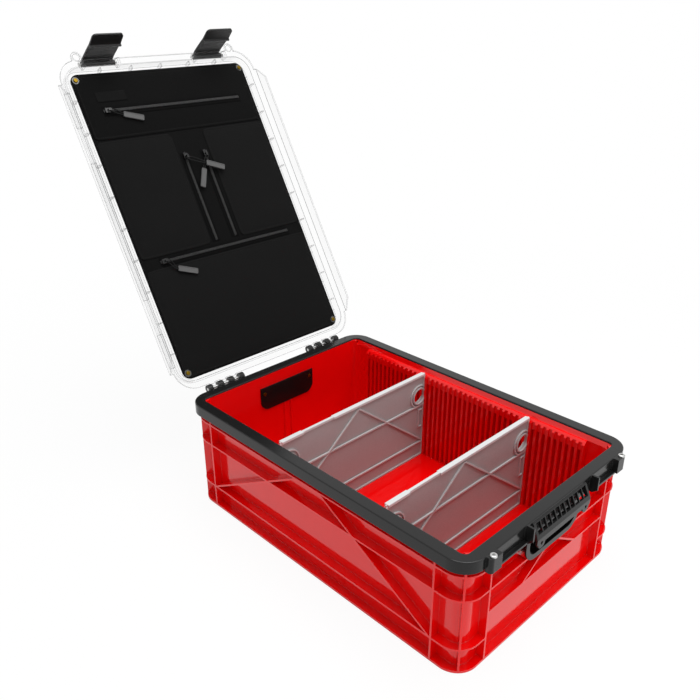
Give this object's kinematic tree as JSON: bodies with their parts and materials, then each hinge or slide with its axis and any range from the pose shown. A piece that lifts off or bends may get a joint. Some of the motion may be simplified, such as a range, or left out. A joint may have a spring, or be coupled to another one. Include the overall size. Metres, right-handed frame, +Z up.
{
  "type": "storage crate with hinged lid",
  "caption": "Ribbed stacking crate with a grey rim frame, a clear hinged latching lid that carries a zipped organiser, and lift-out dividers in slotted walls",
  "frame": {"origin": "centre of the base, on the ground the crate rests on", "axes": "X across the width, -Y towards the latches, +Y towards the hinge, Z up"},
  "size_m": [0.4, 0.9025, 0.7214],
  "materials": {
    "tub_red": "moulded gloss",
    "rim_grey": "satin moulded",
    "plug_black": "satin moulded",
    "latch_black": "satin moulded",
    "lid_clear": "clear polished",
    "divider_grey": "moulded",
    "cloth_black": "woven",
    "zip_tape": "woven tape and coil",
    "cord_black": "braided",
    "slider_black": "painted",
    "tab_grey": "moulded",
    "patch_black": "moulded",
    "washer_grey": "satin",
    "brass": "plain",
    "steel": "plain"
  },
  "bodies": {
    "crate": {"crate_tub": "tub_red", "rim_frame": "rim_grey", "lug_screws": "steel", "front_hand_plug": "plug_black", "rear_hand_plug": "plug_black", "plug_screws": "brass", "hinge_pin_left": "steel", "hinge_pin_right": "steel"},
    "lid": {"lid_shell": "lid_clear", "latch_pin_left": "steel", "latch_pin_right": "steel", "organiser_board": "cloth_black", "board_washers": "washer_grey", "board_screws": "brass", "pocket_top": "cloth_black", "pocket_left": "cloth_black", "pocket_right": "cloth_black", "pocket_bottom": "cloth_black", "blank_patch": "patch_black", "zip_chain_top": "zip_tape", "zip_chain_left": "zip_tape", "zip_chain_right": "zip_tape", "zip_chain_bottom": "zip_tape"},
    "latch_left_body": {"latch_left": "latch_black"},
    "latch_right_body": {"latch_right": "latch_black"},
    "divider_front_body": {"divider_front": "divider_grey"},
    "divider_rear_body": {"divider_rear": "divider_grey"},
    "pull_top": {"zip_slider_top": "slider_black", "zip_pull_cord_top": "cord_black", "zip_pull_tab_top": "tab_grey"},
    "pull_left": {"zip_slider_left": "slider_black", "zip_pull_cord_left": "cord_black", "zip_pull_tab_left": "tab_grey"},
    "pull_right": {"zip_slider_right": "slider_black", "zip_pull_cord_right": "cord_black", "zip_pull_tab_right": "tab_grey"},
    "pull_bottom": {"zip_slider_bottom": "slider_black", "zip_pull_cord_bottom": "cord_black", "zip_pull_tab_bottom": "tab_grey"}
  },
  "joints": [
    {"name": "lid_hinge", "type": "hinge", "parent": "crate", "child": "lid", "pos_m": [0, 0.2935, 0.181], "axis": [-1, 0, 0], "range_deg": [-120, 0]},
    {"name": "latch_left_swing", "type": "hinge", "parent": "lid", "child": "latch_left_body", "pos_m": [-0.1103, 0.5992, 0.6725], "axis": [-1, 0, 0], "range_deg": [-4.5, 95]},
    {"name": "latch_right_swing", "type": "hinge", "parent": "lid", "child": "latch_right_body", "pos_m": [0.1103, 0.5992, 0.6725], "axis": [-1, 0, 0], "range_deg": [-4.5, 95]},
    {"name": "divider_front_lift", "type": "slide", "parent": "crate", "child": "divider_front_body", "axis": [0, 0, 1], "range_m": [0, 0.17]},
    {"name": "divider_rear_lift", "type": "slide", "parent": "crate", "child": "divider_rear_body", "axis": [0, 0, 1], "range_m": [0, 0.17]},
    {"name": "zip_top_slide", "type": "slide", "parent": "lid", "child": "pull_top", "axis": [1, 0, 0], "range_m": [0, 0.25]},
    {"name": "zip_left_slide", "type": "slide", "parent": "lid", "child": "pull_left", "axis": [0, -0.5, -0.866], "range_m": [0, 0.149]},
    {"name": "zip_right_slide", "type": "slide", "parent": "lid", "child": "pull_right", "axis": [0, -0.5, -0.866], "range_m": [0, 0.149]},
    {"name": "zip_bottom_slide", "type": "slide", "parent": "lid", "child": "pull_bottom", "axis": [1, 0, 0], "range_m": [0, 0.25]}
  ]
}
